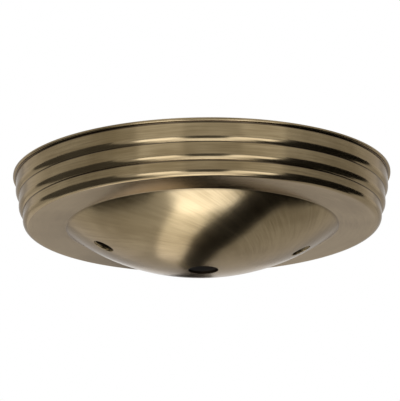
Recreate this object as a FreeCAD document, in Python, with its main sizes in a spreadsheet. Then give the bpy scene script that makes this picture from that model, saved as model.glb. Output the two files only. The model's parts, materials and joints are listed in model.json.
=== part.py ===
import FreeCAD, Part
import math
import os

import Sketcher

# Light fixture ceiling canopy: one round cap of sheet metal, drawn in a press
# and trued on a lathe. Its rim lies against the ceiling, three stepped bands
# form its side wall, a flat ring turns inwards below them, and a shallow dome
# closes the middle. A lamp pipe goes through the hole in the middle, and two
# screws from the outlet box's bar go through the holes on either side of it.
#
# Frame: millimetres, +Z up towards the ceiling. The origin is the middle of
# the rim's top face, so the canopy hangs below z = 0. The two screw holes lie
# on the X axis.

NODE_NAME = "canopy_shell"

# Driving sizes. A band's height runs from its top to the crease or ring below
# it, and its step is how far it stands in from the band above.

SIZES = {
    "canopy_diameter": 133.35,
    "wall": 1.0,
    "rim_flange": 1.0,
    "band_one_height": 7.5,
    "band_two_height": 6.0,
    "band_three_height": 5.1,
    "band_two_step": 1.1,
    "band_three_step": 1.45,
    "bead_radius": 2.3,
    "dome_diameter": 95.9,
    "dome_depth": 15.6,
    "pipe_hole": 10.32,
    "screw_hole": 6.6,
    "screw_spacing": 69.85,
}

# How a sketch numbers an arc's or line's ends and an arc's centre, the
# sketch's own origin, and its two axes.

START = 1
END = 2
CENTRE = 3
ROOT = (-1, 1)
ACROSS_AXIS = -1
UPRIGHT_AXIS = -2

LEAST_CUT = 0.001


def fill_size_sheet(document):
    """Write every driving size into the document's sheet, under its own name."""
    sheet = document.addObject("Spreadsheet::Sheet", "sizes")
    for row, (name, value) in enumerate(SIZES.items(), start=1):
        sheet.set(f"A{row}", name)
        sheet.set(f"B{row}", str(value))
        sheet.setAlias(f"B{row}", name)
    document.recompute()


def origin_feature(body, role):
    """Find one of the body's own planes or axes."""
    return next(item for item in body.Origin.OriginFeatures if item.Role == role)


def new_sketch(body, name, plane):
    """Start a sketch on one of the body's own planes."""
    sketch = body.newObject("Sketcher::SketchObject", name)
    sketch.AttachmentSupport = [(origin_feature(body, plane), "")]
    sketch.MapMode = "FlatFace"
    return sketch


def add_line(sketch, start, end):
    """Add a straight stretch between two points, each given as x and y."""
    return sketch.addGeometry(
        Part.LineSegment(FreeCAD.Vector(*start), FreeCAD.Vector(*end))
    )


def add_arc(sketch, centre, radius, start_angle, end_angle):
    """Add an arc that runs anticlockwise between two angles in radians."""
    circle = Part.Circle(FreeCAD.Vector(*centre), FreeCAD.Vector(0, 0, 1), radius)
    return sketch.addGeometry(Part.ArcOfCircle(circle, start_angle, end_angle))


def set_size(sketch, name, constraint, expression):
    """Add a dimension and bind it to the sheet."""
    index = sketch.addConstraint(constraint)
    sketch.renameConstraint(index, name)
    sketch.setExpression(f"Constraints.{name}", expression)


def draw_sheet_line(body):
    """Draw the sheet's visible side as one line, from the rim's lip to the dome's lowest point.

    The sketch's x is the distance from the canopy's axis, and its y is the
    height. Each band is a straight wall that rolls inwards in a bead, and the
    bead ends in a sharp crease where the next band starts.
    """
    lip_edge = SIZES["canopy_diameter"] / 2
    band_one = lip_edge - SIZES["rim_flange"]
    band_two = band_one - SIZES["band_two_step"]
    band_three = band_two - SIZES["band_three_step"]
    lip_face = -SIZES["wall"]
    crease_one = -SIZES["band_one_height"]
    crease_two = crease_one - SIZES["band_two_height"]
    ring_level = crease_two - SIZES["band_three_height"]

    radius = SIZES["bead_radius"]
    turn_one = math.acos(1 - SIZES["band_two_step"] / radius)
    turn_two = math.acos(1 - SIZES["band_three_step"] / radius)
    bead_one_top = crease_one + radius * math.sin(turn_one)
    bead_two_top = crease_two + radius * math.sin(turn_two)
    shoulder_top = ring_level + radius

    dome_edge = SIZES["dome_diameter"] / 2
    dome_depth = SIZES["dome_depth"]
    dome_radius = (dome_edge**2 + dome_depth**2) / (2 * dome_depth)
    dome_centre = ring_level - dome_depth + dome_radius
    dome_slope = math.asin(dome_edge / dome_radius)
    straight_down = -math.pi / 2

    sketch = new_sketch(body, "sheet_line", "XZ_Plane")
    lip = add_line(sketch, (lip_edge, lip_face), (band_one, lip_face))
    wall_one = add_line(sketch, (band_one, lip_face), (band_one, bead_one_top))
    bead_one = add_arc(sketch, (band_one - radius, bead_one_top), radius, -turn_one, 0)
    wall_two = add_line(sketch, (band_two, crease_one), (band_two, bead_two_top))
    bead_two = add_arc(sketch, (band_two - radius, bead_two_top), radius, -turn_two, 0)
    wall_three = add_line(sketch, (band_three, crease_two), (band_three, shoulder_top))
    shoulder = add_arc(
        sketch, (band_three - radius, shoulder_top), radius, straight_down, 0
    )
    ring = add_line(sketch, (band_three - radius, ring_level), (dome_edge, ring_level))
    dome = add_arc(
        sketch, (0, dome_centre), dome_radius, straight_down, straight_down + dome_slope
    )

    for line in (lip, ring):
        sketch.addConstraint(Sketcher.Constraint("Horizontal", line))
    for line in (wall_one, wall_two, wall_three):
        sketch.addConstraint(Sketcher.Constraint("Vertical", line))
    corners = [
        (lip, END, wall_one, START),
        (bead_one, START, wall_two, START),
        (bead_two, START, wall_three, START),
        (ring, END, dome, END),
    ]
    for corner in corners:
        sketch.addConstraint(Sketcher.Constraint("Coincident", *corner))
    rolls = [
        (wall_one, END, bead_one, END),
        (wall_two, END, bead_two, END),
        (wall_three, END, shoulder, END),
        (shoulder, START, ring, START),
    ]
    for roll in rolls:
        sketch.addConstraint(Sketcher.Constraint("Tangent", *roll))
    for rounding in (bead_two, shoulder):
        sketch.addConstraint(Sketcher.Constraint("Equal", bead_one, rounding))
    for end in (START, CENTRE):
        sketch.addConstraint(
            Sketcher.Constraint("PointOnObject", dome, end, UPRIGHT_AXIS)
        )

    to_lip = "sizes.canopy_diameter / 2"
    to_band_one = f"{to_lip} - sizes.rim_flange"
    to_band_two = f"{to_band_one} - sizes.band_two_step"
    to_band_three = f"{to_band_two} - sizes.band_three_step"
    distances_from_axis = [
        ("lip_edge", lip, lip_edge, to_lip),
        ("band_one_face", wall_one, band_one, to_band_one),
        ("band_two_face", wall_two, band_two, to_band_two),
        ("band_three_face", wall_three, band_three, to_band_three),
    ]
    for name, line, value, expression in distances_from_axis:
        distance = Sketcher.Constraint("DistanceX", *ROOT, line, START, value)
        set_size(sketch, name, distance, expression)
    dome_reach = Sketcher.Constraint("DistanceX", *ROOT, ring, END, dome_edge)
    set_size(sketch, "dome_edge", dome_reach, "sizes.dome_diameter / 2")

    to_crease_two = "sizes.band_one_height + sizes.band_two_height"
    to_ring = f"{to_crease_two} + sizes.band_three_height"
    depths_below_rim = [
        ("lip_face", lip, -lip_face, "sizes.wall"),
        ("crease_one_level", wall_two, -crease_one, "sizes.band_one_height"),
        ("crease_two_level", wall_three, -crease_two, to_crease_two),
        ("ring_level", ring, -ring_level, to_ring),
        ("dome_level", dome, dome_depth - ring_level, f"{to_ring} + sizes.dome_depth"),
    ]
    for name, geometry, value, expression in depths_below_rim:
        depth = Sketcher.Constraint("DistanceY", geometry, START, *ROOT, value)
        set_size(sketch, name, depth, expression)

    bead_size = Sketcher.Constraint("Radius", bead_one, radius)
    set_size(sketch, "bead_radius", bead_size, "sizes.bead_radius")
    return sketch


def thicken_line(body, line):
    """Give the line the sheet's thickness, towards the hollow side.

    The hollow side runs round each crease in an arc, so the sheet is as thick
    there as everywhere else.
    """
    section = body.newObject("PartDesign::SubShapeBinder", "sheet_section")
    section.Support = [(line, "")]
    section.OffsetFill = True
    section.OffsetOpenResult = True
    section.OffsetJoinType = "Arcs"
    section.setExpression("Offset", "-sizes.wall")
    return section


def turn_section(body, section):
    """Turn the sheet's section once round the canopy's axis."""
    shell = body.newObject("PartDesign::Revolution", "turned_shell")
    shell.Profile = (section, "")
    shell.ReferenceAxis = (origin_feature(body, "Z_Axis"), [""])
    shell.Angle = 360
    return shell


def pierce(body, name, spacing=None):
    """Pierce a round hole straight down through the dome, as the press does.

    The hole's diameter is the size of the same name. With a spacing it stands
    half of that along the X axis, and without one it is on the canopy's axis.
    """
    sketch = new_sketch(body, f"{name}_sketch", "XY_Plane")
    reach = SIZES[spacing] / 2 if spacing else 0
    centre = FreeCAD.Vector(reach, 0, 0)
    hole = sketch.addGeometry(
        Part.Circle(centre, FreeCAD.Vector(0, 0, 1), SIZES[name] / 2)
    )
    diameter = Sketcher.Constraint("Diameter", hole, SIZES[name])
    set_size(sketch, "diameter", diameter, f"sizes.{name}")
    if spacing:
        on_axis = Sketcher.Constraint("PointOnObject", hole, CENTRE, ACROSS_AXIS)
        sketch.addConstraint(on_axis)
        distance = Sketcher.Constraint("DistanceX", *ROOT, hole, CENTRE, reach)
        set_size(sketch, "reach", distance, f"sizes.{spacing} / 2")
    else:
        sketch.addConstraint(Sketcher.Constraint("Coincident", hole, CENTRE, *ROOT))

    uncut = body.Shape.Volume
    pocket = body.newObject("PartDesign::Pocket", name)
    pocket.Profile = sketch
    pocket.Type = "ThroughAll"
    body.Document.recompute()
    if uncut - pocket.Shape.Volume < LEAST_CUT:
        raise RuntimeError(f"{name} cuts nothing")
    return pocket


def mirror_hole(body, hole):
    """Repeat a hole on the other side of the canopy's axis."""
    pair = body.newObject("PartDesign::Mirrored", f"{hole.Name}_pair")
    pair.Originals = [hole]
    pair.MirrorPlane = (origin_feature(body, "YZ_Plane"), [""])
    body.Tip = pair


def build_canopy(document):
    """Build the canopy as one body: sheet line, section, turned shell and holes."""
    body = document.addObject("PartDesign::Body", NODE_NAME)
    body.Label = NODE_NAME
    body.Placement = FreeCAD.Placement()
    line = draw_sheet_line(body)
    document.recompute()
    section = thicken_line(body, line)
    turn_section(body, section)
    document.recompute()
    pierce(body, "pipe_hole")
    screw_hole = pierce(body, "screw_hole", "screw_spacing")
    mirror_hole(body, screw_hole)
    document.recompute()
    return body


def check_document(document, pieces):
    """Stop if a feature has failed or a piece isn't one sound solid."""
    for item in document.Objects:
        if "Invalid" in item.State or "Error" in item.State:
            raise RuntimeError(f"{item.Label} has failed: {item.State}")
    for piece in pieces:
        shape = piece.Shape
        if shape.isNull() or not shape.isValid() or len(shape.Solids) != 1:
            raise RuntimeError(f"{piece.Label} isn't one sound solid")


def main():
    """Build the canopy, check it and write its solid."""
    document = FreeCAD.newDocument("ceiling_canopy")
    fill_size_sheet(document)
    pieces = [build_canopy(document)]
    check_document(document, pieces)
    os.makedirs("parts", exist_ok=True)
    for piece in pieces:
        piece.Shape.exportStep(os.path.join("parts", f"{piece.Label}.step"))
        box = piece.Shape.optimalBoundingBox(False)
        print(
            f"{piece.Label}: {piece.Shape.Volume:.1f} mm3, "
            f"{box.XLength:.2f} x {box.YLength:.2f} x {box.ZLength:.2f} mm"
        )


main()
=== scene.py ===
# %% [markdown]
# # A brushed antique-brass ceiling canopy
#
# A canopy is the round metal cap that hides the wiring box where a lamp hangs from the ceiling.
# This lesson gives one its looks: a thin sheet with soft edges, brush lines that stretch the
# light, brown patina and painted shade in the creases, and clear lacquer over it all.
#
# The exact solid comes from the CAD frame. The frame is in metres, its origin is in the middle of
# the rim's top face, and the canopy hangs below it with its two screw holes on the X axis.

import json
import math

import bpy
from mathutils import Matrix, Vector


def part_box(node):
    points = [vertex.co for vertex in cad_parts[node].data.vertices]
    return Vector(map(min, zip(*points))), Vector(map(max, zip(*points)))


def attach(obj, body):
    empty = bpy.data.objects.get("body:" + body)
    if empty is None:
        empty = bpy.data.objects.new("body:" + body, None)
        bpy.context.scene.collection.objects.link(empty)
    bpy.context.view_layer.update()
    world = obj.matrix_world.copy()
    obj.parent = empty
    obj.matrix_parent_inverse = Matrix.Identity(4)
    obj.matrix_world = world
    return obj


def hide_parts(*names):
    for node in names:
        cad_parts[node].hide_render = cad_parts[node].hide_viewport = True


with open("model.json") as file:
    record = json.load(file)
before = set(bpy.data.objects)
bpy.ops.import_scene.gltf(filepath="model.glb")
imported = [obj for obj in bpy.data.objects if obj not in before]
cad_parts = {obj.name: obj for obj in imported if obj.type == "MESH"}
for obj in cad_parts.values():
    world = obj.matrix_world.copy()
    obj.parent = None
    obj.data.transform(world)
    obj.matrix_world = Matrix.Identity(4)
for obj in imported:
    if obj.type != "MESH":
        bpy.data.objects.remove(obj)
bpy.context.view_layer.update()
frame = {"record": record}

# %% [markdown]
# ## Sizes
#
# The rim's radius and the holes come from the frame, so they always agree with the solid. The
# rest of the section is repeated here, because a mesh with soft edges is drawn again from the
# same sizes. The solid's creases are sharp. A real sheet can't be bent or cut to a perfect edge,
# so each has a small radius here, and those radii are what catches the light.

# %% Sizes of the sheet
MM = 0.001
mounts = {mount["name"]: mount["dims"] for mount in frame["record"]["mounts"]}
LIP_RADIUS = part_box("canopy_shell")[1][0]
PIPE_HOLE_RADIUS = mounts["pipe_hole"]["r_mm"] * MM
SCREW_HOLE_RADIUS = mounts["bar_screws"]["hole_r_mm"] * MM
SCREW_REACH = mounts["bar_screws"]["spacing_x_mm"] * MM / 2

WALL = 1.0 * MM
RIM_FLANGE = 1.0 * MM
BAND_HEIGHTS = (7.5 * MM, 6.0 * MM, 5.1 * MM)
BAND_STEPS = (1.1 * MM, 1.45 * MM)
BEAD_RADIUS = 2.3 * MM
DOME_EDGE = 95.9 * MM / 2
DOME_DEPTH = 15.6 * MM

LIP_TOP_ROUND = 0.15 * MM
LIP_EDGE_ROUND = 0.4 * MM
LIP_BEND = 0.35 * MM
CREASE_ROUND = 0.25 * MM
DOME_FOOT = 0.8 * MM
MOUTH_ROUND = 0.25 * MM
BURR_ROUND = 0.12 * MM

band_one = LIP_RADIUS - RIM_FLANGE
creases = (-BAND_HEIGHTS[0], -BAND_HEIGHTS[0] - BAND_HEIGHTS[1])
ring_level = -sum(BAND_HEIGHTS)
dome_radius = (DOME_EDGE**2 + DOME_DEPTH**2) / (2 * DOME_DEPTH)
dome_centre = ring_level - DOME_DEPTH + dome_radius
print(f"Dome: part of a ball of {dome_radius / MM:.2f} mm radius")

# %% [markdown]
# ## A pen for the sheet's section
#
# A drawn sheet never turns a corner sharply: it runs straight, then round a radius, then
# straight. The section could be a list of points, but then every radius would be a guess. A pen
# that goes straight or turns on a radius draws it the way the tools bend it. It also knows which
# way it faces at each point, so every point gets its exact surface direction, and no shading
# error shows on the polished metal.

# %% The pen
DOWN, INWARD, UP, OUTWARD = -90.0, -180.0, -270.0, -360.0
RIGHT_ANGLE = 90.0


class Pen:
    """Draws a line of points, each with its distance from the axis, height and facing."""

    def __init__(self, across, height, heading):
        self.across, self.height, self.heading = across, height, heading
        self.points = []
        self.mark()

    def mark(self, wear_and_shade=0.0):
        """Keep the point where the pen is. The sheet's surface faces to the pen's left."""
        turn = math.radians(self.heading)
        self.points.append(
            (self.across, self.height, -math.sin(turn), math.cos(turn), wear_and_shade)
        )

    def straight(self, length, pieces=1):
        """Go straight on for a length."""
        turn = math.radians(self.heading)
        for _ in range(pieces):
            self.across += math.cos(turn) * length / pieces
            self.height += math.sin(turn) * length / pieces
            self.mark()

    def to_height(self, height, pieces=1):
        """Go straight up or down to a height."""
        self.straight(abs(height - self.height), pieces)

    def to_radius(self, across, pieces=1):
        """Go straight in or out to a distance from the axis."""
        self.straight(abs(across - self.across), pieces)

    def turn(self, radius, degrees, pieces, wear_and_shade=0.0):
        """Turn on a radius, to the left with a positive angle."""
        side = math.copysign(1, degrees)
        for _ in range(pieces):
            before = math.radians(self.heading)
            self.heading += degrees / pieces
            after = math.radians(self.heading)
            self.across += side * radius * (math.sin(after) - math.sin(before))
            self.height -= side * radius * (math.cos(after) - math.cos(before))
            self.mark(wear_and_shade)


# %% [markdown]
# ## The section, from the lip round to the lip again
#
# The visible side goes down the three bands, along the ring and down the dome to the pipe hole.
# The hollow side comes back one wall thickness behind it, so each radius grows or shrinks by the
# wall. A band ends in a bead that rolls inwards, and the bead rolls back on a small radius into
# the next band.

# %% The visible side
BEND_ROWS = 5
BAND_ROWS, LAST_BAND_ROWS = 3, 2
BEAD_ROWS, LAST_BEAD_ROWS = 10, 14
RING_ROWS = 4
OUTER_DOME_ROWS, ROWS_ACROSS_HOLE, INNER_DOME_ROWS = 8, 16, 16
PATCH_REACH = 5 * MM
PATCH_OUTER, PATCH_INNER = SCREW_REACH + PATCH_REACH, SCREW_REACH - PATCH_REACH


def bead_turn(step, radius, back_radius):
    """How far a bead turns before it turns back, for it to step in by this much."""
    return math.degrees(math.acos(1 - step / (radius + back_radius)))


def tilt_at(across, radius):
    """The tilt, in degrees, of a ball's surface at this distance from the axis."""
    return math.degrees(math.asin(across / radius))


foot_centre = dome_centre - (ring_level - DOME_FOOT)
foot_tilt = math.degrees(math.acos(foot_centre / (dome_radius + DOME_FOOT)))
foot_start = math.sqrt((dome_radius + DOME_FOOT) ** 2 - foot_centre**2)
patch_tilts = [tilt_at(across, dome_radius) for across in (PATCH_OUTER, PATCH_INNER)]
mouth_tilt = tilt_at(PIPE_HOLE_RADIUS + MOUTH_ROUND, dome_radius - MOUTH_ROUND)
bead_tops = [
    crease + BEAD_RADIUS * math.sin(math.acos(1 - step / BEAD_RADIUS))
    for crease, step in zip(creases, BAND_STEPS)
]

# Below 0 a point gets patina and painted shade, as in the creases, the lip's bend and the dome's
# foot. Above 0 its patina is rubbed off.
PATINA_AND_SHADE_STAY, THIN_PATINA_AND_SHADE, PATINA_RUBBED_OFF = -1.0, -0.5, 1.0
PATINA_AND_SHADE_EDGE = 0.3 * MM

pen = Pen(LIP_RADIUS - LIP_EDGE_ROUND, -WALL, INWARD)
pen.to_radius(band_one + LIP_BEND)
pen.turn(LIP_BEND, DOWN - INWARD, BEND_ROWS, PATINA_AND_SHADE_STAY)
for bead_top, step in zip(bead_tops, BAND_STEPS):
    turn = bead_turn(step, BEAD_RADIUS, CREASE_ROUND)
    pen.straight(PATINA_AND_SHADE_EDGE)
    pen.to_height(bead_top, BAND_ROWS)
    pen.turn(BEAD_RADIUS, -turn, BEAD_ROWS, PATINA_RUBBED_OFF)
    pen.turn(CREASE_ROUND, turn, BEND_ROWS, PATINA_AND_SHADE_STAY)
pen.straight(PATINA_AND_SHADE_EDGE)
pen.to_height(ring_level + BEAD_RADIUS, LAST_BAND_ROWS)
pen.turn(BEAD_RADIUS, INWARD - DOWN, LAST_BEAD_ROWS, PATINA_RUBBED_OFF)
pen.to_radius(foot_start + PATINA_AND_SHADE_EDGE, RING_ROWS)
pen.to_radius(foot_start)
pen.turn(DOME_FOOT, foot_tilt, BEND_ROWS, THIN_PATINA_AND_SHADE)
pen.turn(dome_radius, patch_tilts[0] - foot_tilt, OUTER_DOME_ROWS)
visible_patch = len(pen.points) - 1
pen.turn(dome_radius, patch_tilts[1] - patch_tilts[0], ROWS_ACROSS_HOLE)
pen.turn(dome_radius, mouth_tilt - patch_tilts[1], INNER_DOME_ROWS)
print(f"Visible side: {len(pen.points)} points, down to {pen.height / MM:.2f} mm")

# %% The pipe hole's wall and the hollow side
EDGE_ROWS, WALL_ROWS = 3, 2
HOLLOW_RING_ROWS, HOLLOW_BEAD_ROWS, HOLLOW_LAST_BEAD_ROWS = 2, 6, 8

hollow_radius = dome_radius - WALL
burr_centre = hollow_radius + BURR_ROUND
burr_tilt = tilt_at(PIPE_HOLE_RADIUS + BURR_ROUND, burr_centre)
hollow_start = len(pen.points)
pen.turn(MOUTH_ROUND, UP - INWARD - mouth_tilt, BEND_ROWS, PATINA_RUBBED_OFF)
pen.to_height(dome_centre - burr_centre * math.cos(math.radians(burr_tilt)), WALL_ROWS)
pen.turn(BURR_ROUND, OUTWARD + burr_tilt - UP, EDGE_ROWS)
pen.turn(hollow_radius, patch_tilts[1] - burr_tilt, INNER_DOME_ROWS)
hollow_patch = len(pen.points) - 1
pen.turn(hollow_radius, patch_tilts[0] - patch_tilts[1], ROWS_ACROSS_HOLE)
pen.turn(hollow_radius, foot_tilt - patch_tilts[0], OUTER_DOME_ROWS)
pen.turn(DOME_FOOT + WALL, -foot_tilt, BEND_ROWS)
pen.to_radius(band_one - sum(BAND_STEPS) - BEAD_RADIUS, HOLLOW_RING_ROWS)
pen.turn(BEAD_RADIUS - WALL, RIGHT_ANGLE, HOLLOW_LAST_BEAD_ROWS)
for bead_top, step in zip(reversed(bead_tops), reversed(BAND_STEPS)):
    turn = bead_turn(step, BEAD_RADIUS, CREASE_ROUND)
    pen.to_height(
        bead_top - (BEAD_RADIUS + CREASE_ROUND) * math.sin(math.radians(turn))
    )
    pen.turn(CREASE_ROUND + WALL, -turn, BEND_ROWS)
    pen.turn(BEAD_RADIUS - WALL, turn, HOLLOW_BEAD_ROWS)
pen.to_height(-WALL - LIP_BEND)
pen.turn(LIP_BEND + WALL, -RIGHT_ANGLE, BEND_ROWS)
pen.to_radius(LIP_RADIUS - LIP_TOP_ROUND)
hollow_end = len(pen.points)
pen.turn(LIP_TOP_ROUND, -RIGHT_ANGLE, EDGE_ROWS)
pen.to_height(LIP_EDGE_ROUND - WALL)
pen.turn(LIP_EDGE_ROUND, -RIGHT_ANGLE, BEND_ROWS, PATINA_RUBBED_OFF)
gap = math.hypot(pen.across - pen.points[0][0], pen.height - pen.points[0][1])
section = pen.points[:-1]
print(f"Whole section: {len(section)} points, closed to within {gap / MM:.6f} mm")

# %% [markdown]
# ## Turning the section, and leaving room for the screw holes
#
# A Screw modifier would turn the section, and a Boolean would cut the holes, but a Boolean leaves
# long thin faces beside each hole, and brushed metal shows every one of them. So the section is
# turned here row by row, and a small patch of the dome round each screw hole is left out on both
# sides of the sheet.

# %% Turn the section
STEPS = 360
HALF_PATCH = 8
ROUND_TURN = 2 * math.pi

places, facings, wear_and_shade_marks = [], [], []
for across, height, face_out, face_up, wear_and_shade in section:
    for step in range(STEPS):
        angle = ROUND_TURN * step / STEPS
        outward = Vector((math.cos(angle), math.sin(angle), 0))
        places.append(outward * across + Vector((0, 0, height)))
        facings.append(outward * face_out + Vector((0, 0, face_up)))
        wear_and_shade_marks.append(wear_and_shade)


def grid_point(row, step):
    """The number of the point in this row of the section, at this step round the axis."""
    return row % len(section) * STEPS + step % STEPS


def in_a_patch(row, step):
    """Whether the face after this row and step belongs to a screw hole's patch."""
    in_rows = any(
        first <= row < first + ROWS_ACROSS_HOLE for first in (visible_patch, hollow_patch)
    )
    from_hole = (step + HALF_PATCH) % (STEPS // 2)
    return in_rows and from_hole < 2 * HALF_PATCH


faces, finishes = [], []
BANDS, DOME, HOLLOW = 0, 1, 2
dome_start = visible_patch - OUTER_DOME_ROWS
for row in range(len(section)):
    finish = BANDS
    if dome_start <= row < hollow_start:
        finish = DOME
    if hollow_start <= row < hollow_end:
        finish = HOLLOW
    for step in range(STEPS):
        if not in_a_patch(row, step):
            faces.append(
                [
                    grid_point(row, step),
                    grid_point(row + 1, step),
                    grid_point(row + 1, step + 1),
                    grid_point(row, step + 1),
                ]
            )
            finishes.append(finish)
print(f"Turned section: {len(places)} points and {len(faces)} faces")

# %% [markdown]
# ## The two screw holes
#
# Each patch is filled with rings of faces. The first ring is the patch's own border, and the
# rings close in on the hole, always staying on the dome's ball. They roll over the hole's mouth
# on a small curve, go straight up the pierced wall, and open out again on the hollow side to the
# other border.

# %% Fill a patch round a screw hole
RINGS = 6
CROWDING = 1.3
MOUTH_PIECES = 4


def on_ball(flat, radius, side):
    """Put a flat point on the dome's ball, and give its facing. Side is -1 for the hollow side."""
    depth = math.sqrt(radius**2 - flat.length_squared)
    place = Vector((flat.x, flat.y, dome_centre - depth))
    facing = (place - Vector((0, 0, dome_centre))).normalized() * side
    return place, facing


def border(first_row, middle_step, backwards):
    """The patch's border as (row, step) pairs, in the same order on both sides of the sheet."""
    rows, steps = ROWS_ACROSS_HOLE, 2 * HALF_PATCH
    walk = [(row, 0) for row in range(rows)]
    walk += [(rows, step) for step in range(steps)]
    walk += [(rows - row, steps) for row in range(rows)]
    walk += [(0, steps - step) for step in range(steps)]
    if backwards:
        walk = [(rows - row, step) for row, step in walk]
    return [
        grid_point(first_row + row, middle_step - HALF_PATCH + step) for row, step in walk
    ]


def side_rings(edge, centre, radius, side, round_radius):
    """Rings from the border in to the hole's wall, on one side of the sheet."""
    rings = []
    ways = []
    for number in edge:
        flat = Vector((places[number].x, places[number].y)) - centre
        ways.append((flat, flat.normalized()))
    for ring in range(1, RINGS + 1):
        share = 1 - (1 - ring / RINGS) ** CROWDING
        row = []
        for flat, way in ways:
            rim = way * (SCREW_HOLE_RADIUS + round_radius)
            row.append(on_ball(centre + flat.lerp(rim, share), radius, side))
        rings.append(row)
    for piece in range(1, MOUTH_PIECES + 1):
        share = piece / MOUTH_PIECES
        row = []
        for _, way in ways:
            start, facing = on_ball(
                centre + way * (SCREW_HOLE_RADIUS + round_radius), radius, side
            )
            corner, _ = on_ball(centre + way * SCREW_HOLE_RADIUS, radius, side)
            end = corner + Vector((0, 0, side * round_radius))
            place = start.lerp(corner, share).lerp(corner.lerp(end, share), share)
            to_axis = Vector((-way.x, -way.y, 0))
            row.append((place, facing.lerp(to_axis, share).normalized()))
        rings.append(row)
    return rings


def add_ring(row, wear_and_shade=0.0):
    """Add a ring of points and give their numbers."""
    numbers = range(len(places), len(places) + len(row))
    for place, facing in row:
        places.append(place)
        facings.append(facing)
        wear_and_shade_marks.append(wear_and_shade)
    return list(numbers)


def bridge(first, second, finish):
    """Join two rings with a strip of faces."""
    for index in range(len(first)):
        after = (index + 1) % len(first)
        faces.append([first[index], first[after], second[after], second[index]])
        finishes.append(finish)


for middle_step, reach in ((0, SCREW_REACH), (STEPS // 2, -SCREW_REACH)):
    centre = Vector((reach, 0))
    front = border(visible_patch, middle_step, False)
    back = border(hollow_patch, middle_step, True)
    last = front
    for count, row in enumerate(side_rings(front, centre, dome_radius, 1, MOUTH_ROUND)):
        ring = add_ring(row, PATINA_RUBBED_OFF if count > RINGS else 0.0)
        bridge(last, ring, DOME if count < RINGS else BANDS)
        last = ring
    rows = reversed(side_rings(back, centre, hollow_radius, -1, BURR_ROUND))
    for count, row in enumerate(rows):
        ring = add_ring(row)
        bridge(last, ring, HOLLOW if count else BANDS)
        last = ring
    bridge(last, back, HOLLOW)
print(f"With both screw holes: {len(places)} points and {len(faces)} faces")

# %% [markdown]
# ## One mesh with exact facings
#
# Smooth shading guesses how a surface faces from the faces round each point, and guesses wrong
# where a flat band meets a small radius. The pen knows each facing exactly, so the mesh keeps
# those. It also keeps, point by point, where the patina and painted shade stay and where the
# patina is rubbed off.

# %% Make the mesh
used = sorted({number for face in faces for number in face})
renumbered = {number: new for new, number in enumerate(used)}
faces = [[renumbered[number] for number in face] for face in faces]
places = [places[number] for number in used]
facings = [facings[number] for number in used]
wear_and_shade_marks = [wear_and_shade_marks[number] for number in used]

shell = bpy.data.meshes.new("brushed_canopy")
shell.from_pydata(places, [], faces)
shell.polygons.foreach_set("material_index", finishes)
# Each point's mark: below 0 patina and painted shade, above 0 patina rubbed off.
wear_and_shade_layer = shell.attributes.new("wear_and_shade", "FLOAT", "POINT")
wear_and_shade_layer.data.foreach_set("value", wear_and_shade_marks)
shell.polygons.foreach_set("use_smooth", [True] * len(faces))
shell.update()
facing_out = sum(
    face.normal.dot(facings[face.vertices[0]]) > 0 for face in shell.polygons
)
shell.normals_split_custom_set_from_vertices(facings)
print(f"{len(places)} points, {len(faces)} faces, of which {facing_out} face outwards")

canopy = bpy.data.objects.new("brushed_canopy", shell)
bpy.context.scene.collection.objects.link(canopy)
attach(canopy, "root")
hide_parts("canopy_shell")

# %% [markdown]
# ## Writing materials as sums
#
# A finish is worked out from where a point lies on the canopy: how far from the axis, how high,
# and how far round. Written as nodes that takes dozens of boxes, so a small class lets a socket
# be added and multiplied like a number, and each sign adds its Math node.

# %% Nodes as sums
class Value:
    """What comes out of a node. Sums and products of values add Math nodes."""

    def __init__(self, nodes, socket):
        self.nodes, self.socket = nodes, socket

    def __add__(self, other):
        return self.nodes.function("ADD", self, other)

    __radd__ = __add__

    def __mul__(self, other):
        return self.nodes.function("MULTIPLY", self, other)

    __rmul__ = __mul__

    def __sub__(self, other):
        return self.nodes.function("SUBTRACT", self, other)

    def __rsub__(self, other):
        return self.nodes.function("SUBTRACT", other, self)

    def __truediv__(self, other):
        return self.nodes.function("DIVIDE", self, other)

    def __pow__(self, power):
        return self.nodes.function("POWER", self, power)


class Nodes:
    """A material's or the world's nodes."""

    def __init__(self, tree):
        self.tree = tree
        tree.nodes.clear()

    def add(self, kind, settings=None, inputs=None, output=0):
        """Add a node: its settings first, then the numbers, colours or values of its inputs."""
        node = self.tree.nodes.new(kind)
        for name, setting in (settings or {}).items():
            setattr(node, name, setting)
        for name, given in (inputs or {}).items():
            if isinstance(given, Value):
                self.tree.links.new(given.socket, node.inputs[name])
            else:
                node.inputs[name].default_value = given
        return Value(self, node.outputs[output]) if node.outputs else None

    def function(self, operation, first, second=0.0):
        """Work out a Math node's function of one or two values."""
        return self.add("ShaderNodeMath", {"operation": operation}, {0: first, 1: second})

    def mix(self, factor, first, second):
        """Mix two colours."""
        return self.add(
            "ShaderNodeMix", {"data_type": "RGBA"}, {0: factor, 6: first, 7: second}, 2
        )

    def fade(self, value, low, high):
        """Rise smoothly from 0 at low to 1 at high."""
        return self.add(
            "ShaderNodeMapRange",
            {"interpolation_type": "SMOOTHSTEP"},
            {"Value": value, "From Min": low, "From Max": high},
        )

    def noise(self, across, along, up, further, detail=2.0):
        """Noise in four directions, so that it can run round the axis with no seam."""
        place = self.add("ShaderNodeCombineXYZ", inputs={0: across, 1: along, 2: up})
        return self.add(
            "ShaderNodeTexNoise",
            {"noise_dimensions": "4D"},
            {"Vector": place, "W": further, "Scale": 1.0, "Detail": detail},
        )


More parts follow.
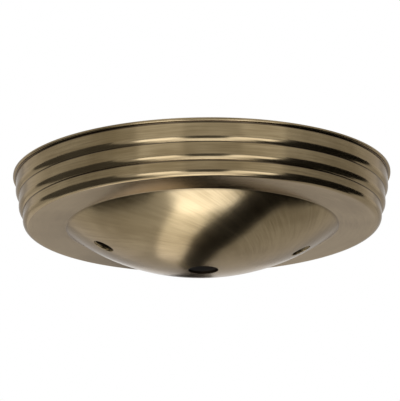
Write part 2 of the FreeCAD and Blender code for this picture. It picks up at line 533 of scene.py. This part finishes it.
# %% [markdown]
# ## Brushed and lacquered antique brass
#
# Antique brass is brass that was darkened in a bath, brushed until most of it shines again, and
# lacquered. The bath's brown stays in the creases and under the lip, and it goes first from beads
# and edges. Here that brown is pushed nearly black in the creases, under the lip and at the dome's
# foot, so it is patina and painted shade together. The bands and the ring were brushed while the
# canopy turned in the lathe, so their lines run round the axis. The dome's lines spiral in towards
# the pipe hole, because there the brush moved inwards while the metal turned.
#
# A flat brown with a little roughness would look like paint. Long scratches drawn one by one
# would take millions of faces. Here noise is stretched along the brush's path, so it becomes
# lines. It gives the colour, the roughness and a very low bump, and the shader's own anisotropy
# spreads each highlight across lines that are too fine to draw.

# %% Colours of the finish
# The grazing tint keeps steep reflections brass: without it they would turn white.
BRASS = (0.255, 0.196, 0.108, 1)
BROWN = (0.14, 0.1, 0.046, 1)
# Patina and painted shade: nearly black, for the creases, the lip's bend and the dome's foot.
PATINA_AND_SHADE = (0.025, 0.015, 0.006, 1)
RUBBED = (0.4, 0.31, 0.185, 1)
GRAZING_TINT = (0.8, 0.73, 0.66, 1)

RUBBED_SHARE = 0.15
PATINA_AND_SHADE_SHARE = 0.9

# Noise runs about its middle, 0.5. The offset brings the sum of the shares back to that middle.
LINES_IN_TONE, CLOUD_IN_TONE, TONE_OFFSET = 0.3, 0.8, -0.2


# %% Brush lines
FINE_LINE, BROAD_LINE = 0.25 * MM, 0.77 * MM
LINES_ALONG = 5.0
MIDDLE_OF_DOME = 30 * MM


def spot_on_canopy(nodes):
    """Where a point lies: x, y, z, and its distance from the axis."""
    place = nodes.add("ShaderNodeTexCoord", output="Object")
    x, y, z = (
        nodes.add("ShaderNodeSeparateXYZ", inputs={0: place}, output=axis)
        for axis in range(3)
    )
    return x, y, z, (x * x + y * y) ** 0.5


def round_lines(nodes, spot, width):
    """Lines that run round the axis: fast change across them, slow change along them."""
    x, y, z, across = spot
    return nodes.noise(
        x / across * LINES_ALONG, y / across * LINES_ALONG, across / width, z / width
    )


def spiral_lines(nodes, spot, width, angle):
    """Lines that cross every circle round the axis at the same angle, on their way in."""
    x, y, _, across = spot
    outward = nodes.function("LOGARITHM", across / MIDDLE_OF_DOME, math.e)
    turn = nodes.function("ARCTAN2", y, x) + outward / math.tan(angle)
    reach = MIDDLE_OF_DOME / width * math.sin(angle)
    return nodes.noise(
        nodes.function("COSINE", turn) * reach,
        nodes.function("SINE", turn) * reach,
        outward * LINES_ALONG,
        0.0,
    )


# %% The brushed finish
BUMP_HEIGHT = 0.011 * MM
FINE_HEIGHT, MIDDLE_HEIGHT = 0.5, 0.75
SMOOTHED_BY_RUBBING = 0.7
CLOUD_SIZE = 25 * MM


def brushed_finish(name, spread, lines):
    """Brushed antique brass. Spread is the highlight's turn, as a share of a full turn."""
    material = bpy.data.materials.new(name)
    material.use_nodes = True
    nodes = Nodes(material.node_tree)
    spot = spot_on_canopy(nodes)
    fine, broad = (lines(nodes, spot, width) for width in (FINE_LINE, BROAD_LINE))
    cloud = nodes.noise(*(axis / CLOUD_SIZE for axis in spot[:3]), 0.0, detail=3.0)

    tone = (broad + fine) * LINES_IN_TONE + cloud * CLOUD_IN_TONE + TONE_OFFSET
    tone = nodes.fade(tone, 0.3, 0.7)
    colour = nodes.mix(tone, BROWN, BRASS)
    wear_and_shade = nodes.add("ShaderNodeAttribute", {"attribute_name": "wear_and_shade"}, output="Fac")
    rubbed_off = nodes.fade(wear_and_shade, 0.0, 1.0)
    colour = nodes.mix(rubbed_off * RUBBED_SHARE, colour, RUBBED)
    # Painted shade with patina: the creases, the lip's bend and the dome's foot darken nearly to
    # black.
    colour = nodes.mix(nodes.fade(0 - wear_and_shade, 0.0, 1.0) * PATINA_AND_SHADE_SHARE, colour, PATINA_AND_SHADE)

    height = fine * FINE_HEIGHT + broad - MIDDLE_HEIGHT
    height = height * (1 - rubbed_off * SMOOTHED_BY_RUBBING)
    bump = nodes.add(
        "ShaderNodeBump",
        inputs={"Strength": 1.0, "Distance": BUMP_HEIGHT, "Height": height},
    )
    shader = nodes.add(
        "ShaderNodeBsdfPrincipled",
        inputs={
            "Base Color": colour,
            "Metallic": 1.0,
            "Specular Tint": GRAZING_TINT,
            "Roughness": 0.15 + broad * 0.07,
            "Anisotropic": 0.6,
            "Anisotropic Rotation": spread,
            "Coat Weight": 0.2,
            "Coat Roughness": 0.15,
            "Normal": bump,
        },
    )
    nodes.add("ShaderNodeOutputMaterial", inputs={"Surface": shader})
    shell.materials.append(material)
    print(f"{name}: {len(material.node_tree.nodes)} nodes")


QUARTER_TURN = 0.25
SPIRAL_ANGLE = math.radians(35)
brushed_finish("brushed_bands", QUARTER_TURN, round_lines)
brushed_finish(
    "brushed_dome",
    QUARTER_TURN - SPIRAL_ANGLE / ROUND_TURN,
    lambda nodes, spot, width: spiral_lines(nodes, spot, width, SPIRAL_ANGLE),
)

# %% [markdown]
# ## The dull hollow side
#
# Nobody sees the hollow side once the canopy is up, so nobody brushes it. The bath leaves it
# nearly black, in clouds where it took unevenly, and the marks of the press tools still run round
# it. It could share the brushed finish, but then the holes would shine from inside. A dark finish
# with a wide, weak reflection keeps them black, as they look on the real one. Its black is the
# plating's own dark colour and painted shade together, for the shade inside the hollow against the
# ceiling.

# %% The plated hollow side, with painted shade
# Plating and painted shade: both colours are nearly black, for the shade inside the hollow.
BLACK_PLATING_AND_SHADE, UMBER = (0.004, 0.003, 0.002, 1), (0.026, 0.018, 0.01, 1)
WEAK_TINT = (0.1, 0.08, 0.05, 1)
BLOTCH_SIZE = 16 * MM
TOOL_MARK, MARK_HEIGHT = 0.7 * MM, 0.01 * MM

material = bpy.data.materials.new("plated_and_shaded_hollow")
material.use_nodes = True
nodes = Nodes(material.node_tree)
spot = spot_on_canopy(nodes)
blotch = nodes.noise(*(axis / BLOTCH_SIZE for axis in spot[:3]), 0.0, detail=4.0)
tool_marks = round_lines(nodes, spot, TOOL_MARK)
bump = nodes.add(
    "ShaderNodeBump",
    inputs={"Strength": 1.0, "Distance": MARK_HEIGHT, "Height": tool_marks + blotch},
)
shader = nodes.add(
    "ShaderNodeBsdfPrincipled",
    inputs={
        "Base Color": nodes.mix(
            nodes.fade(blotch + tool_marks * 0.2, 0.42, 0.82), BLACK_PLATING_AND_SHADE, UMBER
        ),
        "Metallic": 0.8,
        "Specular Tint": WEAK_TINT,
        "Roughness": 0.48 + blotch * 0.15,
        "Specular IOR Level": 0.2,
        "Normal": bump,
    },
)
nodes.add("ShaderNodeOutputMaterial", inputs={"Surface": shader})
shell.materials.append(material)
print("Finishes:", [finish.name for finish in shell.materials])

# %% [markdown]
# ## Camera
#
# The camera looks up at the canopy from a little below it, as one does in a room. Its place, tilt
# and lens were fitted to the outline in the picture: the ellipse of the lip gives the tilt, the
# ratio of the lip's ellipse to the ring's gives the distance, and the line through the two screw
# holes gives the turn. The focal length is in pixels, as it was measured, and is turned into
# millimetres here.

# %% Camera
CAMERA_TURN = math.radians(7.9359)
CAMERA_TILT = math.radians(16.1777)
CAMERA_ROLL = math.radians(-0.8108)
CAMERA_DISTANCE = 0.83675
FOCAL_LENGTH, PICTURE_HEIGHT = 2373.775, 401
SENSOR_MM = 36

pivot = Vector((0, 0, -0.015))
home = pivot + Vector((0, -math.cos(CAMERA_TILT), -math.sin(CAMERA_TILT))) * CAMERA_DISTANCE
aim = Vector((-0.00074, 0, -0.0086))
looking = (aim - home).to_track_quat("-Z", "Y").to_matrix().to_4x4()
pose = (
    Matrix.Rotation(-CAMERA_TURN, 4, "Z")
    @ Matrix.Translation(home)
    @ looking
    @ Matrix.Rotation(CAMERA_ROLL, 4, "Z")
)

lens = bpy.data.cameras.new("camera")
lens.sensor_fit = "VERTICAL"
lens.sensor_width = lens.sensor_height = SENSOR_MM
lens.lens = FOCAL_LENGTH / PICTURE_HEIGHT * SENSOR_MM
lens.clip_start = 0.01
camera = bpy.data.objects.new("camera", lens)
camera.matrix_world = pose
bpy.context.scene.collection.objects.link(camera)
bpy.context.scene.camera = camera
bpy.context.scene.view_settings.view_transform = "Standard"
print("Camera at", [round(value, 4) for value in camera.matrix_world.translation])

# %% [markdown]
# ## Studio
#
# Brushed brass has hardly any colour of its own to show: it shows what it mirrors. Bright metal
# in an empty white room looks flat, so a photographer sets softboxes where the metal should shine
# and black cards where it should be dark. A curved canopy mirrors nearly the whole room, and each
# place on it mirrors one direction. So everything here is placed by direction from the canopy,
# with azimuth 0 on the camera's side and 90 on its right, and elevation below 0 under the canopy.
#
# The softboxes are area lamps. The low pair draws the bright line along each bead, and the high
# pair lifts the bands beside the middle. The cards are seen by reflections alone: they shape what
# the brass mirrors and take no light away. The dark ones at the sides darken the beads, another
# stands where the camera would be, and pale ones at the rear even out the edges of the bands and
# the dome's left. The floor lies well below, where it catches the soft shadow.

# %% Directions in the studio
CANOPY_MIDDLE = Vector((0, 0, -0.017))


def direction(azimuth, elevation):
    """The direction from the canopy, in degrees round from the camera's side and up."""
    turn = math.radians(azimuth) - CAMERA_TURN
    rise = math.radians(elevation)
    return Vector(
        (
            math.sin(turn) * math.cos(rise),
            -math.cos(turn) * math.cos(rise),
            math.sin(rise),
        )
    )


# %% Softboxes
LAMP_COLOUR = (0.94, 0.98, 1.08)


def softbox(name, azimuth, elevation, distance, width, height, brightness):
    """A softbox that faces the canopy. Its brightness is how bright it looks: white is 1."""
    lamp = bpy.data.lights.new(name, "AREA")
    lamp.shape = "RECTANGLE"
    lamp.size, lamp.size_y = width, height
    lamp.energy = brightness * math.pi * width * height
    lamp.color = LAMP_COLOUR
    body = bpy.data.objects.new(name, lamp)
    body.location = CANOPY_MIDDLE + direction(azimuth, elevation) * distance
    outward = body.location - CANOPY_MIDDLE
    body.rotation_euler = outward.to_track_quat("Z", "Y").to_euler()
    body.visible_camera = False
    bpy.context.scene.collection.objects.link(body)
    print(f"{name}: {lamp.energy:.1f} W")


# Each line: azimuth and elevation in degrees, distance, width and height in metres, brightness.
softbox("under_softbox", 165, -87, 1.0, 0.46, 0.4, 3.4)
softbox("front_low_softbox", 0, -62, 1.0, 0.8, 0.5, 2.1)
softbox("left_softbox", -27, -32, 0.9, 0.38, 0.46, 3.6)
softbox("right_softbox", 33, -32, 0.9, 0.42, 0.46, 3.2)
softbox("left_high_softbox", -24, 17, 0.9, 0.42, 0.5, 0.5)
softbox("right_high_softbox", 37, 17, 0.9, 0.4, 0.5, 0.45)


# %% Cards
def card(name, brightness, distance, corners):
    """A card that only reflections see. Its corners are pairs of azimuth and elevation."""
    mesh = bpy.data.meshes.new(name)
    places = [CANOPY_MIDDLE + direction(*corner) * distance for corner in corners]
    mesh.from_pydata(places, [], [range(len(places))])
    plate = bpy.data.objects.new(name, mesh)
    bpy.context.scene.collection.objects.link(plate)
    material = bpy.data.materials.new(name)
    material.use_nodes = True
    nodes = Nodes(material.node_tree)
    shader = nodes.add(
        "ShaderNodeEmission", inputs={"Color": (1, 1, 1, 1), "Strength": brightness}
    )
    nodes.add("ShaderNodeOutputMaterial", inputs={"Surface": shader})
    mesh.materials.append(material)
    plate.visible_camera = plate.visible_diffuse = False
    plate.visible_shadow = plate.visible_transmission = False


# How bright a card looks, where white is 1, and how far off it stands, in metres. Of two cards
# in one direction, the nearer one is seen.
BLACK, DARK_GREY, PALE_GREY, WHITE, GLOWING = 0.02, 0.15, 0.65, 1.1, 2.5
NEAR, BETWEEN, FAR = 1.0, 1.05, 1.1

left_edge = [(-112, -68), (-119, -65), (-124, -58), (-129, -48), (-134, -38)]
left_edge += [(-118, -28), (-118, 12)]
card("left_card", DARK_GREY, NEAR, [(-52, 12), (-52, -58), (-85, -72)] + left_edge)

right_edge = [(118, -68), (128, -55), (131, -44), (134, -36), (118, -30), (118, 13)]
card("right_card", BLACK, NEAR, [(50, 13), (50, -58), (85, -74)] + right_edge)

camera_side = [(-9, -4), (-9, -42), (16, -42), (16, -4)]
card("camera_card", DARK_GREY, NEAR, camera_side)

dome_side = [(-138, -11), (-137, -38), (-132, -50), (-142, -62), (-152, -58)]
card("rear_low_card", WHITE, FAR, dome_side + [(-160, -42), (-167, -11)])

for name, side in (("rear_left_card", -1), ("rear_right_card", 1)):
    rear = [(side * 138, 35), (side * 138, -12), (side * 172, -12), (side * 172, 35)]
    card(name, PALE_GREY, FAR, rear)

# %% [markdown]
# Two cards draw what the eye goes to first on the dome. A long thin black one runs from the right
# to the back, and its reflection is the dark streak that curls down to the pipe hole. A glowing
# one beside it carries the bright fan on, from the dome's foot towards the same hole.

# %% The streak and the fan
streak_outer = [(112, -60), (112, -73), (165, -70), (179, -65), (-174, -56)]
streak_top = [(-174, -26), (-177, -14), (-177, 6), (179, 6)]
streak_inner = [(179, -28), (174, -42), (162, -50), (145, -55), (130, -54)]
card("streak_card", BLACK, NEAR, streak_outer + streak_top + streak_inner)

fan_left = [(-120, -80), (-148, -66), (-157, -53), (-164, -39), (-168, -29)]
fan_right = [(-174, -29), (-175, -56), (178, -66), (165, -78)]
card("fan_card", GLOWING, BETWEEN, fan_left + fan_right)

# %% Floor and room
FLOOR_LEVEL, FLOOR_HALF = -1.5, 15.0
floor_mesh = bpy.data.meshes.new("floor")
floor_mesh.from_pydata(
    [
        (across * FLOOR_HALF, along * FLOOR_HALF, FLOOR_LEVEL)
        for across, along in ((-1, -1), (1, -1), (1, 1), (-1, 1))
    ],
    [],
    [(0, 1, 2, 3)],
)
floor = bpy.data.objects.new("floor", floor_mesh)
bpy.context.scene.collection.objects.link(floor)

pale_floor = bpy.data.materials.new("pale_floor")
pale_floor.use_nodes = True
nodes = Nodes(pale_floor.node_tree)
matt = nodes.add("ShaderNodeBsdfDiffuse", inputs={"Color": (0.8, 0.8, 0.8, 1)})
nodes.add("ShaderNodeOutputMaterial", inputs={"Surface": matt})
floor_mesh.materials.append(pale_floor)

room = bpy.data.worlds.new("white_room")
bpy.context.scene.world = room
room.use_nodes = True
nodes = Nodes(room.node_tree)
white = nodes.add("ShaderNodeBackground", inputs={"Color": (1, 1, 1, 1), "Strength": 1.0})
nodes.add("ShaderNodeOutputWorld", inputs={"Surface": white})
print("Lamps and stage pieces:", len(bpy.data.lights), len(bpy.data.meshes))
